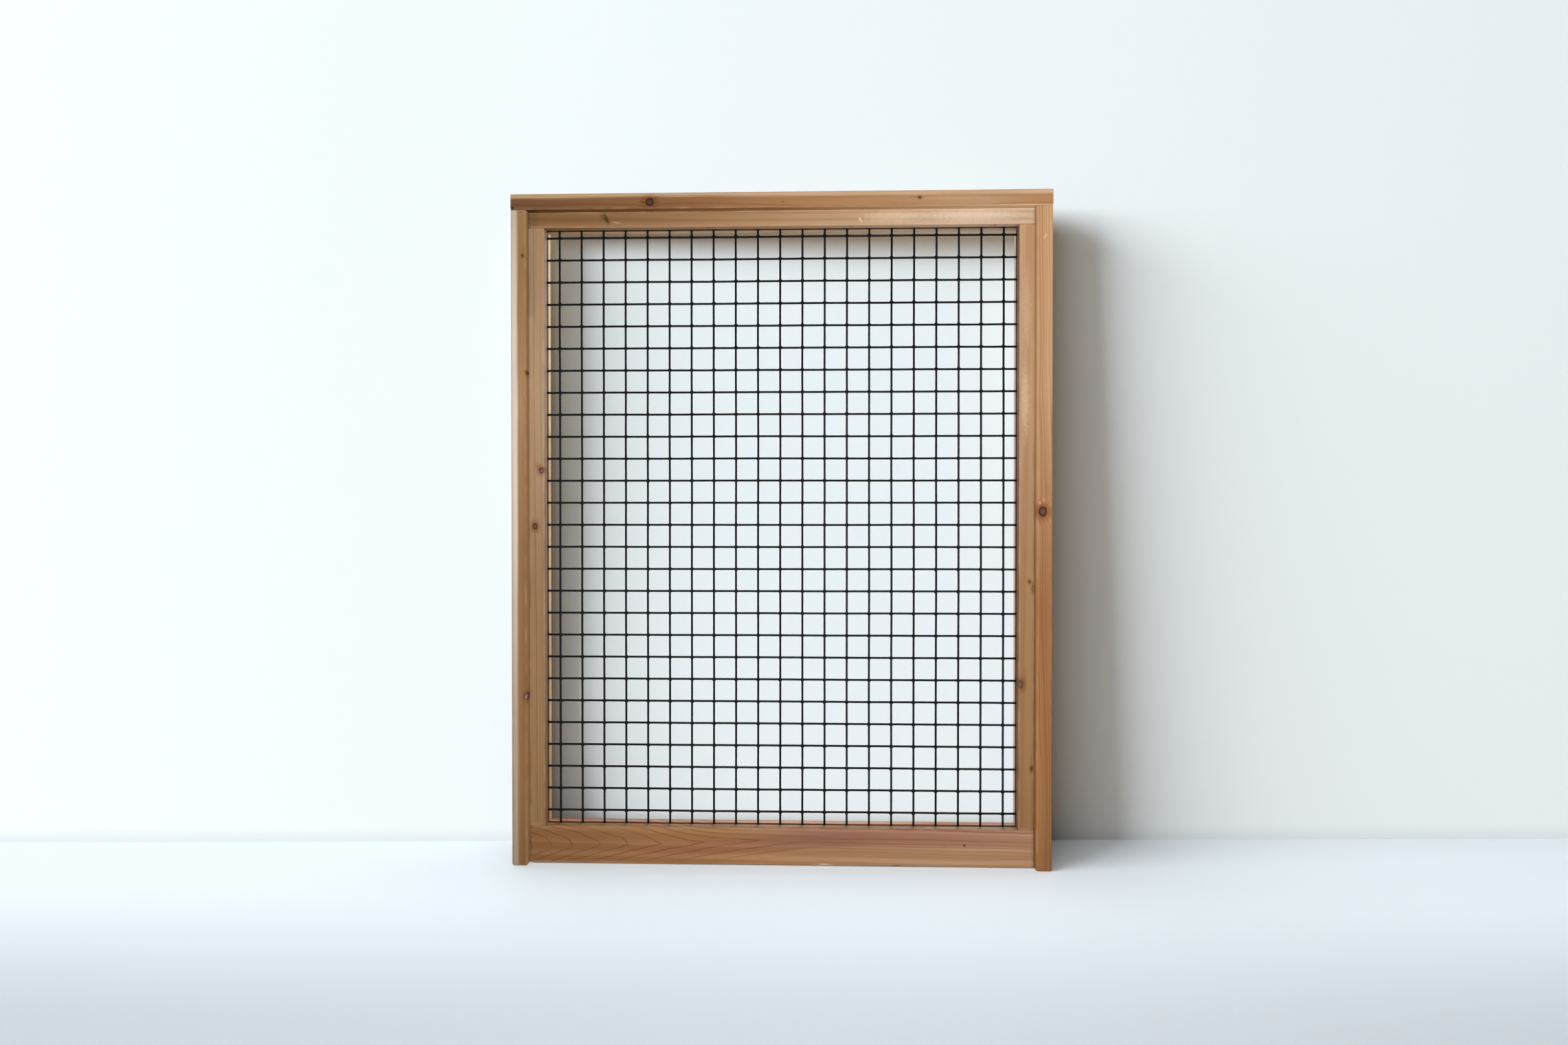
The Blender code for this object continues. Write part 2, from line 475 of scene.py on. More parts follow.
def makeArrisWear():
    # 1 at the edges of a box of that half size, fading over the reach, broken up by noise
    given, result = newGroup("arrisWear", "place half", "reach", "wear")
    inside = vectorCalc("SUBTRACT", given["half"], vectorCalc("ABSOLUTE", given["place"]))
    close = [ease(part, given["reach"], 0.0) for part in parts(inside)]
    pairs = [times(close[one], close[two]) for one, two in ((0, 1), (1, 2), (0, 2))]
    edge = calc("MAXIMUM", calc("MAXIMUM", pairs[0], pairs[1]), pairs[2])
    patchy = ease(noise(given["place"], wearLook["grain"], detail=3.0), *wearLook["patchy"])
    feed(times(edge, patchy), result["wear"])


makeLogRings()
makeRingMarks()
makeFibre()
makeKnot()
makeSpot()
makeArrisWear()
print("wood effects ready")


# Cedar: what all boards share here, and a dictionary for each board farther down
cedar = {
    "haloTone": (206, 160, 118),
    "grooveShadeTone": (44, 27, 18),
    # painted shade inside the grooves
    "endTone": (96, 62, 36),
    "endGrain": 0.45,
    "endDepth": (0.6 * mm, 0.2 * mm),
    "wearTone": (214, 184, 150),
    "wear": 0.22,
    "wearReach": 2.2 * mm,
    "unevenRings": 3.0,
    "toneDrift": 0.1,
    "fleck": 0.6,
    "bandShade": 0.12,
    "patchShade": 0.14,
    "gritLeast": 0.4,
    "waveGrain": (14, 30, 30),
    "rough": 0.62,
    "streakRough": 0.25,
    "patchRough": 0.15,
    "glossRough": 0.25,
    "wearRough": 0.12,
    "specular": 0.14,
    "bump": 0.35,
    "bumpDepth": 0.12 * mm,
    "streakHeight": 0.8,
    "fleckHeight": 0.5,
    "lateHeight": 1.2,
    "rimDepth": 1.2,
}
joint = 0.08 * mm       # glued joints close up to this
markDepth = 7 * mm      # knots and patches go this far into a board
upright = (0, -90, 0)


def archedRings(board, arch):
    # flat-sawn face: thin ring tips follow each other along the board, one flank steep and one long
    along, deep, high = parts(board)
    start = minus(along, arch["start"])
    decay = calc("POWER", math.e, calc("DIVIDE", start, -arch["fade"]))
    tips = times(minus(1.0, decay), arch["tips"])
    slopeAlong = times(decay, arch["tips"] / arch["fade"])
    middle = calc("MULTIPLY_ADD", along, arch["rise"], arch["middle"])
    waver = noise(board, arch["wanderGrain"], detail=3.0)
    high = swayed(minus(high, middle), waver, arch["wander"])
    upper = calc("MAXIMUM", high, 0.0)
    lower = calc("MAXIMUM", times(high, -1.0), 0.0)
    steep = times(upper, arch["steep"])
    sharp = times(ease(along, *arch["sharpFrom"]), arch["sharp"])
    flank = times(plus(steep, sharp), upper)
    flank = plus(flank, times(lower, arch["long"]))
    rings = plus(plus(tips, flank), times(deep, arch["deep"]))
    jagged = swing(noise(board, arch["zigzagGrain"], detail=1.0), arch["zigzag"])
    rings = plus(rings, times(jagged, slopeAlong))
    below = times(calc("LESS_THAN", high, 0.0), arch["long"])
    slopeUp = plus(times(steep, 2.0), below)
    slopeUp = plus(slopeUp, times(calc("GREATER_THAN", high, 0.0), sharp))
    squares = plus(times(slopeAlong, slopeAlong), times(slopeUp, slopeUp))
    offLine = calc("ABSOLUTE", minus(calc("FRACT", rings), 0.5))
    away = calc("DIVIDE", offLine, calc("SQRT", squares))
    line = ease(away, arch["line"], 0.0)
    fading = minus(1.0, ease(along, *arch["until"]))
    fading = times(fading, minus(1.0, ease(lower, *arch["lowFade"])))
    bold = ease(noise(board, arch["boldGrain"]), *arch["bold"])
    return times(times(line, fading), lifted(bold, arch["faintest"]))


def bandShare(board, band):
    # how much of a band shows: from one edge, up to another where it has one, and between two places along
    edge = vectorCalc("DOT_PRODUCT", board, band["across"])
    edge = swayed(edge, noise(board, cedar["waveGrain"]), band["wave"])
    share = times(ease(edge, *band["edge"]), band["strength"])
    if band["upTo"]:
        share = times(share, ease(edge, *band["upTo"]))
    if band["along"]:
        share = times(share, ease(parts(board)[0], *band["along"]))
    return share


def makeCedar(name, wood, low, high, mouth=None):
    material, surface = newPaint(name)
    place = newNode("ShaderNodeTexCoord").outputs["Object"]
    size = high - low
    half = Vector((size.z, size.y, size.x) if wood["turn"] == upright else size) / 2
    board = turnedTo(place, (low + high) / 2, wood["turn"])
    log = turnedTo(board, wood["pith"], wood["lean"])
    along = parts(board)[0]
    fibre = useGroup("cedarFibre", place=log)

    def markPlace(mark):
        return turnedTo(place, (mark["at"][0], low.y, mark["at"][1]), (0, mark["slant"], 0))

    # knots come first, because the rings bend round them
    knots = []
    swirl = 0.0
    for knot in wood["knots"]:
        made = useGroup("cedarKnot", place=markPlace(knot), size=knot["half"])
        swirl = plus(times(made["swirl"], knot["bend"]), swirl)
        knots.append((knot, made))
    rings = useGroup("logRings", place=log, ringWidth=wood["ringWidth"], wander=wood["wander"], swirl=swirl)
    marks = useGroup("ringMarks", rings=rings["rings"], uneven=cedar["unevenRings"])
    late = times(marks["late"], wood["late"])

    # colour: drift along the board, bands, rings and fibres, then patches, knots and wear over them
    # on the cap and rails the drift runs dark at the left end to light at the right, partly the wood's own
    # tone and partly painted shade and light
    share = calc("MULTIPLY_ADD", along, 0.5 / half.x, 0.5)
    share = swayed(share, fibre["patch"], cedar["toneDrift"])
    colour = toneRamp(share, wood["tones"])
    for band in wood["bands"]:
        colour = mixTint(bandShare(board, band), colour, toneRamp(share, band["tones"]))
    if "arch" in wood:
        arch = wood["arch"]
        line = archedRings(board, arch)
        late = times(late, ease(along, *arch["until"]))
        colour = stained(times(line, arch["strength"]), colour, arch["tone"])
    colour = stained(times(marks["wide"], wood["wide"]), colour, wood["wideTone"])
    colour = stained(late, colour, wood["lateTone"])
    shade = swayed(1.0, fibre["streak"], wood["streak"])
    shade = swayed(shade, fibre["fleck"], wood["streak"] * cedar["fleck"])
    shade = swayed(shade, marks["band"], wood["late"] * cedar["bandShade"])
    shade = swayed(shade, fibre["patch"], cedar["patchShade"])
    colour = brighten(colour, shade)
    gloss = 0.0
    # the gritty spots are speckled and less rough; the pale ones on the cap, top rail and right inner stile
    # are painted sheen
    for spot in wood["spots"]:
        made = useGroup("cedarSpot", place=markPlace(spot), size=spot["half"], soft=spot["soft"],
                        ragged=spot["ragged"])
        mask = times(made["patch"], spot["strength"])
        if spot["gritty"]:
            mask = times(mask, lifted(made["grit"], cedar["gritLeast"]))
            gloss = plus(mask, gloss)
        colour = covered(mask, colour, spot["tone"])
    dimple = 0.0
    for knot, made in knots:
        colour = stained(times(made["halo"], knot["halo"]), colour, cedar["haloTone"])
        core = mixTint(made["crack"], tint(*knot["tone"]), tint(*knot["crack"]))
        colour = mixTint(times(made["core"], knot["strength"]), colour, core)
        rim = times(made["rim"], knot["rim"])
        colour = covered(rim, colour, knot["rimTone"])
        dimple = plus(rim, dimple)
    if mouth:
        # painted shade darkens the inside of the groove
        deep = minus(parts(place)[1], (grooveFront + grooveBack) / 2)
        wide = (grooveBack - grooveFront) / 2
        shadeStart, shadeFull = groove["shadeEdge"]
        paintedGrooveShade = ease(calc("ABSOLUTE", deep), wide + shadeStart, wide + shadeFull)
        inward = vectorCalc("DOT_PRODUCT", board, mouth)
        floor = half.z - grooveDepth
        paintedGrooveShade = times(paintedGrooveShade, ease(inward, floor - groove["shadeDeep"], floor))
        colour = covered(times(paintedGrooveShade, wood["paintedGrooveShade"]), colour, cedar["grooveShadeTone"])
    started, full = cedar["endDepth"]
    endGrain = ease(calc("ABSOLUTE", along), half.x - started, half.x - full)
    colour = covered(times(endGrain, cedar["endGrain"]), colour, cedar["endTone"])
    wear = useGroup("arrisWear", place=board, half=half, reach=cedar["wearReach"])["wear"]
    colour = covered(times(wear, cedar["wear"]), colour, cedar["wearTone"])

    rough = swayed(cedar["rough"], fibre["streak"], cedar["streakRough"])
    rough = swayed(rough, fibre["patch"], cedar["patchRough"])
    rough = minus(rough, times(gloss, cedar["glossRough"]))
    rough = calc("SUBTRACT", rough, times(wear, cedar["wearRough"]), clamp=True)

    height = times(fibre["streak"], cedar["streakHeight"])
    height = plus(height, times(fibre["fleck"], cedar["fleckHeight"]))
    height = plus(height, times(late, cedar["lateHeight"]))
    height = minus(height, times(dimple, cedar["rimDepth"]))
    finishPaint(surface, cedar, colour, rough, height)
    return material


def markAt(across, up, width, height, slant, **look):
    # millimetres on the board's front face
    return {"at": (across * mm, up * mm), "half": (width / 2 * mm, markDepth, height / 2 * mm),
            "slant": slant, **look}


def knotAt(across, up, width, height, tone=(84, 56, 42), crack=(112, 80, 64), rimTone=(46, 29, 21), rim=0.8,
           halo=0.7, strength=0.9, bend=1.2, slant=0):
    return markAt(across, up, width, height, slant, tone=tone, crack=crack, rimTone=rimTone, rim=rim,
                  halo=halo, strength=strength, bend=bend * mm)


def patchAt(across, up, width, height, tone, strength=0.6, soft=0.8, ragged=0.4, slant=0, gritty=False):
    return markAt(across, up, width, height, slant, tone=tone, strength=strength, soft=soft, ragged=ragged,
                  gritty=gritty)


def bandAt(across, edge, wave, strength, *tones, places=None, upTo=None, along=None):
    # edge, wave and upTo in millimetres from the board's middle, along in metres
    # tones are spread evenly along the board, unless their places are given
    places = places or [index / (len(tones) - 1) for index in range(len(tones))]
    return {"across": across, "edge": [place * mm for place in edge], "wave": wave * mm,
            "strength": strength, "tones": list(zip(places, tones)),
            "upTo": upTo and [place * mm for place in upTo], "along": along}


def axisTurn(axis):
    # planes and cylinders are made facing up; along X they need a turn, along Z none
    return (0, math.pi / 2, 0) if axis == 0 else (0, 0, 0)


# Groove that holds the wires' ends, read from the wires themselves
# the last two set how far the painted shade inside the groove reaches from its walls and floor
groove = {"play": 0.2 * mm, "deeper": 0.3 * mm, "mouth": 0.25 * mm, "shadeEdge": (0.3 * mm, 0.05 * mm),
          "shadeDeep": 0.5 * mm}
innerStrip = {"arris": 0.7 * mm, "tight": 0.06 * mm, "cuts": 80}
wireLow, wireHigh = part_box("upright_wire_01")
crossLow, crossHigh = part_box("cross_wire_01")
grooveFront = wireLow.y - groove["play"]
grooveBack = crossHigh.y + groove["play"]
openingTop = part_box("top_rail")[0].z
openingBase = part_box("bottom_rail")[1].z
grooveDepth = wireHigh.z - openingTop + groove["deeper"]


def groovedStrip(low, high, opening, farArris):
    # the end profile is cut to shape and drawn out along the strip; opening is the side where wires enter
    middle = (low + high) / 2
    size = high - low
    sign = 1 if opening in ("up", "right") else -1
    openSide, farSide = (high, low) if sign > 0 else (low, high)
    across = 2 if opening in ("up", "down") else 0
    length = 2 - across
    floor = openSide[across] - sign * grooveDepth
    pull = Vector((0, 0, 0))
    pull[length] = size[length]
    side = Vector((0, 0, 0))
    side[across] = 1
    middle[length] = low[length]
    bpy.ops.mesh.primitive_plane_add(size=1, location=middle, rotation=axisTurn(length))
    bpy.context.object.scale = (size[across], size.y, 1)
    strip = startPiece()
    cutAcross((0, grooveFront, 0), (0, 1, 0))
    cutAcross((0, grooveBack, 0), (0, 1, 0))
    cutAcross(side * floor, side)

    def onOpenSide(spot):
        return (spot[across] - floor) * sign > 0

    def onArris(spot, span, corner):
        outerDeep = near(spot.y, low.y) or near(spot.y, high.y)
        return abs(span[length]) > shortEdge and outerDeep and near(spot[across], corner[across])

    def onMouth(spot, span):
        groovy = near(spot.y, grooveFront) or near(spot.y, grooveBack)
        outer = abs(spot[across] - floor) > 0.5 * grooveDepth and onOpenSide(spot)
        return abs(span[length]) > shortEdge and groovy and outer

    pickFaces(strip, lambda spot, facing: grooveFront < spot.y < grooveBack and onOpenSide(spot))
    bpy.ops.mesh.delete(type="FACE")
    bpy.ops.mesh.select_all(action="SELECT")
    drawOut(pull)
    pickEdges(strip, lambda spot, span: abs(span[length]) > 0.5 * pull.length)
    bpy.ops.mesh.subdivide(number_cuts=innerStrip["cuts"])
    pickEdges(strip, onMouth)
    easeEdges(groove["mouth"], steps=2)
    pickEdges(strip, lambda spot, span: onArris(spot, span, openSide))
    easeEdges(innerStrip["arris"], steps=4)
    pickEdges(strip, lambda spot, span: onArris(spot, span, farSide))
    easeEdges(farArris, steps=2)
    sealMesh(strip)
    return strip


def barPiece(low, high, wood, rounds):
    # a sawn bar, cut along its length so that its faces can be uneven; rounds picks the edges to ease
    bpy.ops.mesh.primitive_cube_add(size=1, location=(low + high) / 2, scale=high - low)
    bar = startPiece()
    longest = max(high - low)
    pickEdges(bar, lambda spot, span: span.length > mostly * longest)
    bpy.ops.mesh.subdivide(number_cuts=wood["cuts"])
    pickEdges(bar, rounds)
    easeEdges(wood["arris"], wood["rounding"])
    sealMesh(bar)
    return bar


weathering = {"planedSize": 0.05, "planed": 0.07 * mm, "nibbledSize": 0.006, "nibbled": 0.05 * mm,
              "soft": 38}


def weather(piece):
    unevenFaces(piece, "handPlaned", weathering["planedSize"], weathering["planed"])
    unevenFaces(piece, "nibbledEdges", weathering["nibbledSize"], weathering["nibbled"])
    softShade(piece, weathering["soft"])
    step = piece.modifiers.new("flatFaces", "WEIGHTED_NORMAL")
    step.keep_sharp = True
    applyStep(piece, step)


# Cap across the top
capBoard = {
    "arris": 0.8 * mm,
    "rounding": 4,
    "cuts": 80,
    "splinter": (2.6 * mm, 5 * mm, 4 * mm),
    "turn": (0, 0, 0), "pith": (0, 0.045, -0.03), "lean": (0, 0.6, 0),
    "ringWidth": 2.1 * mm, "wander": 5 * mm,
    "late": 0.6, "lateTone": (214, 186, 160), "streak": 0.24,
    "wide": 0.5, "wideTone": (232, 218, 204),
    # the tones run dark at the left end to light at the right: partly the wood's own tone, partly painted
    # shade and light
    "tones": ((0.0, (112, 80, 50)), (0.33, (138, 99, 64)), (0.58, (168, 127, 89)), (0.88, (184, 148, 113)),
              (1.0, (175, 135, 96))),
    "bands": [
        bandAt((0, 0, 1), (1.4, 4.2), 2, 0.85, (198, 172, 132), (206, 181, 151), (222, 194, 166)),
        # painted shade on the underside and lower edge at the left end, painted light at the right end
        bandAt((0, 0, -1), (5.3, 5.8), 0.2, 0.9, (98, 68, 36), (158, 120, 84), (236, 210, 178)),
    ],
    "knots": [
        knotAt(-97.4, 501, 5.4, 5.4, tone=(74, 46, 36), crack=(92, 62, 50), rimTone=(40, 24, 18), rim=1,
               halo=0.6),
        knotAt(104.3, 502.5, 2.2, 1.6, halo=0.5),
    ],
    "spots": [
        patchAt(-103, 500.9, 8, 1.3, (62, 38, 26), 0.75),
        patchAt(-91.6, 500.8, 8, 1.6, (92, 60, 40), 0.55),
        patchAt(99.5, 502.6, 9, 1, (112, 74, 50), 0.6),
        patchAt(2.4, 500.2, 2.4, 1.4, (88, 56, 40), 0.8),
        # near-black painted shade in the chipped lower left corner
        patchAt(-202, 496.4, 5, 5.6, (8, 6, 5), 1, soft=0.4),
        patchAt(-187, 499.2, 26, 1.2, (92, 62, 40), 0.5, slant=4),
        # painted sheen: a pale speckled highlight
        patchAt(130, 502, 70, 6, (214, 178, 146), 0.35, gritty=True),
    ],
}


def makeCap():
    low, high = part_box("top_cap")
    cap = barPiece(low, high, capBoard, lambda spot, span: True)
    # a splinter is missing from the lower left corner
    openPiece(cap)
    across, deep, up = capBoard["splinter"]
    bpy.ops.mesh.bisect(plane_co=low + Vector((across, 0, 0)), plane_no=(-1 / across, -1 / deep, -1 / up),
                        use_fill=True, clear_outer=True)
    sealMesh(cap)
    weather(cap)
    finishPiece(cap, "topCapBoard", ["top_cap"], makeCedar("cedarCap", capBoard, low, high))


# Rim stiles, left and right
rimStile = {"arris": 1.8 * mm, "rounding": 6, "cuts": 90}
leftRimBoard = {
    "turn": upright, "pith": (0, 0.02, -0.06), "lean": (0, 0.5, 0),
    "ringWidth": 1.4 * mm, "wander": 3 * mm,
    "late": 0.4, "lateTone": (206, 176, 146), "streak": 0.18,
    "wide": 0.5, "wideTone": (232, 218, 204),
    "tones": ((0.0, (127, 95, 60)), (0.15, (130, 98, 63)), (0.5, (135, 102, 67)), (0.7, (157, 124, 88)),
              (0.9, (140, 107, 68)), (1.0, (144, 111, 73))),
    "bands": [
        bandAt((0, 0, 1), (-0.2, 2.2), 1, 0.98, (154, 140, 123), (164, 150, 134), (196, 190, 180),
               (212, 209, 203), (216, 214, 209), (196, 184, 170),
               places=(0.0, 0.25, 0.42, 0.55, 0.8, 1.0)),
        bandAt((0, 0, 1), (4.6, 5.6), 0.6, 0.7, (140, 122, 106), (176, 164, 154)),
        # painted light on the rim's inner side face and its rounded edge
        bandAt((0, 0, -1), (5.4, 5.9), 0.1, 0.85, (154, 120, 80), (162, 126, 86), (170, 134, 94)),
    ],
    "knots": [
        knotAt(-193.9, 461.4, 1.5, 2.2, tone=(66, 40, 26), halo=0.5, rim=0.9),
        knotAt(-191.2, 373.6, 1.6, 2.8, tone=(62, 38, 24), rim=0.9, halo=0.6),
        knotAt(-191.6, 128.9, 3, 5, crack=(166, 148, 134), rimTone=(52, 31, 20), rim=1),
    ],
    "spots": [
        patchAt(-193.4, 466, 1.2, 9, (104, 72, 46), 0.55),
        patchAt(-192.6, 352, 1.2, 14, (112, 78, 48), 0.5),
        patchAt(-191.8, 150, 1.2, 40, (104, 70, 44), 0.5),
    ],
}

rightRimBoard = {
    "turn": upright, "pith": (0, 0.05, 0.045), "lean": (0, -0.7, 0),
    "ringWidth": 1.7 * mm, "wander": 5 * mm,
    "late": 0.8, "lateTone": (206, 172, 140), "streak": 0.24,
    "wide": 0.5, "wideTone": (230, 214, 198),
    "tones": ((0.0, (147, 107, 68)), (0.1, (151, 111, 71)), (0.4, (154, 113, 72)), (0.7, (191, 154, 117)),
              (0.9, (193, 157, 120)), (1.0, (193, 157, 120))),
    "bands": [],
    "knots": [
        knotAt(195.8, 268.8, 5.6, 6.6, tone=(78, 52, 42), crack=(102, 80, 72), rimTone=(46, 27, 19),
               rim=1.0, halo=0.9, bend=2.0),
    ],
    "spots": [
        patchAt(193.6, 275, 2.6, 4.2, (236, 208, 178), 0.8, ragged=0.9, gritty=True),
        patchAt(196.5, 277, 3, 5, (226, 190, 154), 0.5, ragged=0.9, gritty=True),
        patchAt(198.6, 284, 5, 20, (150, 104, 66), 0.45),
        patchAt(197.3, 473, 0.8, 5, (236, 212, 184), 0.85, soft=0.5, slant=24),
    ],
}


def makeRimStile(node, name, wood):
    low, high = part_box(node)
    high.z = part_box("top_cap")[0].z - joint
    stile = barPiece(low, high, rimStile, lambda spot, span: abs(span.z) > shortEdge or near(spot.z, low.z))
    weather(stile)
    finishPiece(stile, name, [node], makeCedar(name + "Cedar", wood, low, high))


# Inner frame: four grooved strips
topRailBoard = {
    "turn": (0, 0, 0), "pith": (0, 0.01, 0.07), "lean": (0, 0.4, 0),
    "ringWidth": 1.9 * mm, "wander": 3.5 * mm,
    "late": 0.5, "lateTone": (214, 188, 160), "streak": 0.26,
    "paintedGrooveShade": 0.88,
    "wide": 0.5, "wideTone": (228, 214, 200),
    # the tones run dark at the left end to light at the right: partly the wood's own tone, partly painted
    # shade and light
    "tones": ((0.0, (129, 96, 60)), (0.1, (130, 97, 62)), (0.34, (154, 121, 86)), (0.5, (169, 138, 105)),
              (0.7, (190, 163, 133)), (0.85, (203, 181, 159)), (1.0, (200, 176, 152))),
    "bands": [
        bandAt((0, 0, -1), (1, 4.5), 1.5, 0.4, (160, 124, 86), (194, 160, 124), (224, 198, 174)),
        # painted light on the back lip of the underside, behind the groove
        bandAt((0, 0.3, -1), (6.1, 6.4), 0.2, 0.9, (212, 186, 160), (206, 180, 156), (200, 176, 154)),
    ],
    "knots": [],
    "spots": [
        patchAt(-131.6, 490.4, 5.2, 13, (80, 52, 30), 1, soft=0.8, slant=-24),
        patchAt(-134.6, 492, 5, 7, (96, 64, 38), 0.6, slant=-10),
        patchAt(-124, 487.6, 11, 2.4, (176, 140, 98), 0.7, slant=10),
        patchAt(-121.5, 485.2, 16, 1.1, (104, 72, 44), 0.6, slant=4),
        patchAt(60.6, 488, 1.6, 6, (238, 218, 196), 0.75, slant=-22),
        # painted sheen: pale speckled highlights on the right half
        patchAt(85, 490, 66, 12, (236, 212, 190), 0.5, ragged=0.8, gritty=True),
        patchAt(146, 490.5, 96, 13, (240, 220, 202), 0.6, ragged=0.8, gritty=True),
    ],
}

leftInnerBoard = {
    "turn": upright, "pith": (0, 0.0, 0.09), "lean": (0, -0.3, 0),
    "ringWidth": 1.15 * mm, "wander": 2.5 * mm,
    "late": 0.65, "lateTone": (214, 184, 156), "streak": 0.28,
    "paintedGrooveShade": 0.45,
    "wide": 0.5, "wideTone": (232, 220, 208),
    "tones": ((0.0, (137, 110, 78)), (0.1, (138, 111, 79)), (0.4, (142, 115, 86)), (0.72, (167, 144, 118)),
              (0.92, (160, 135, 107)), (1.0, (162, 136, 107))),
    "bands": [
        # painted shade on the inner face beside the opening
        bandAt((0, 0, -1), (5.2, 5.8), 0.5, 0.75, (120, 92, 68), (132, 106, 88), (140, 114, 96)),
        # painted light on the inner face's back lip, behind the groove
        bandAt((0, 0.3, -1), (6.4, 6.7), 0.2, 0.9, (204, 174, 132), (224, 198, 156), (238, 216, 172)),
    ],
    "knots": [
        knotAt(-181.6, 300, 3.4, 4, tone=(96, 62, 46), crack=(136, 100, 80), rimTone=(62, 38, 26),
               rim=0.9),
        knotAt(-186.6, 257.4, 3.4, 4.6, tone=(78, 48, 36), crack=(98, 66, 52), rimTone=(54, 33, 23)),
    ],
    "spots": [
        patchAt(-184.6, 303.5, 6, 9, (142, 98, 62), 0.55),
        patchAt(-186.8, 247, 2.4, 18, (128, 90, 58), 0.5),
        patchAt(-185, 77, 7, 18, (146, 104, 66), 0.45),
        patchAt(-180.2, 340, 2, 200, (160, 138, 122), 0.35),
    ],
}

rightInnerBoard = {
    "turn": upright, "pith": (0, 0.03, -0.07), "lean": (0, 0.9, 0),
    "ringWidth": 1.8 * mm, "wander": 4 * mm,
    "late": 0.5, "lateTone": (210, 178, 146), "streak": 0.2,
    "paintedGrooveShade": 0.85,
    "wide": 0.5, "wideTone": (232, 218, 204),
    "tones": ((0.0, (144, 109, 73)), (0.05, (146, 111, 75)), (0.47, (158, 125, 90)),
              (0.72, (180, 148, 117)), (0.92, (180, 147, 114)), (1.0, (182, 149, 115))),
    "bands": [
        # painted shade on the inner face beside the opening
        bandAt((0, 0, 1), (5.2, 5.8), 0.3, 0.9, (116, 82, 50), (88, 62, 42)),
        # painted light on the inner face's back lip, behind the groove
        bandAt((0, 0.3, 1), (6.4, 6.7), 0.2, 0.9, (222, 194, 170), (228, 202, 180)),
    ],
    "knots": [
        knotAt(187.5, 216, 1.7, 2.2, tone=(92, 58, 36), crack=(104, 68, 44), rim=0.6, halo=0.5),
        knotAt(190.4, 211, 1.8, 4.6, tone=(124, 84, 54), crack=(140, 98, 64), rim=0.4),
        knotAt(181, 138.9, 3.6, 5.6, tone=(96, 62, 42), crack=(122, 86, 62), rim=0.7, bend=2),
        knotAt(189.4, 75.4, 1.8, 3.4, tone=(92, 50, 26), crack=(104, 60, 34), rim=0.7),
    ],
    "spots": [
        # painted sheen: pale speckled highlights on the upper part
        patchAt(185, 420, 9, 90, (226, 192, 160), 0.4, ragged=0.9, gritty=True),
        patchAt(184, 352, 8, 80, (232, 202, 174), 0.55, ragged=0.9, gritty=True),
        patchAt(189.2, 83, 1.2, 12, (112, 76, 48), 0.5),
        patchAt(184, 146, 6, 16, (138, 98, 64), 0.4),
    ],
}

bottomRailBoard = {
    "turn": (0, 0, 0), "pith": (0, 0.03, -0.3), "lean": (0, 0.6, 0),
    "ringWidth": 2.4 * mm, "wander": 4 * mm,
    "late": 0.8, "lateTone": (204, 170, 140), "streak": 0.2,
    "arch": {"start": -0.197, "fade": 0.14, "tips": 10.5, "middle": 5.2 * mm, "rise": 0.045, "steep": 8000,
             "long": 200, "sharp": 210, "sharpFrom": (-0.12, -0.04), "deep": 120, "wander": 1.5 * mm,
             "wanderGrain": (28, 60, 120), "zigzag": 7 * mm, "zigzagGrain": (110, 60, 260),
             "boldGrain": (30, 60, 90), "bold": (0.25, 0.6), "faintest": 0.3, "line": 0.55 * mm,
             "strength": 0.75, "tone": (176, 136, 104), "until": (-0.03, 0.06),
             "lowFade": (8 * mm, 18 * mm)},
    "paintedGrooveShade": 0.7,
    "wide": 0.6, "wideTone": (222, 208, 188),
    # the tones run dark at the left end to light at the right: partly the wood's own tone, partly painted
    # shade and light
    "tones": ((0.0, (142, 104, 69)), (0.1, (147, 108, 72)), (0.35, (165, 123, 84)), (0.55, (180, 141, 104)),
              (0.85, (185, 151, 119)), (1.0, (182, 147, 115))),
    "bands": [
        bandAt((-0.08, 0, 1), (-4, -0.5), 5, 0.85, (148, 100, 70), (160, 112, 84),
               (168, 125, 104), (180, 134, 114),
               places=(0.0, 0.4, 0.6, 1.0), upTo=(10, 6), along=(-0.15, -0.06)),
        bandAt((0, 0, 1), (-1.5, 1.5), 3, 0.85, (153, 111, 93), (158, 116, 98), (181, 139, 121),
               places=(0.0, 0.6, 1.0), upTo=(16, 12), along=(-0.05, 0.03)),
        bandAt((0, 0, 1), (13.85, 14.05), 0.05, 0.85, (168, 120, 74), (184, 138, 88), (200, 158, 108)),
        bandAt((0, 1, 0), (1, 1.6), 0.2, 0.9, (206, 146, 116), (222, 166, 142), upTo=(8, 5)),
    ],
    "knots": [
        knotAt(139.1, 16.8, 1.2, 1.5, tone=(30, 18, 12), crack=(34, 22, 16), rim=0.9, halo=0.2, bend=0),
    ],
    "spots": [
        patchAt(34, 1.6, 16, 1.4, (236, 224, 212), 0.8, ragged=1, gritty=True),
        patchAt(88, 1.4, 12, 1.2, (74, 44, 32), 0.6, ragged=0.9),
        patchAt(124, 16.2, 1.2, 1, (96, 60, 44), 0.7),
    ],
}


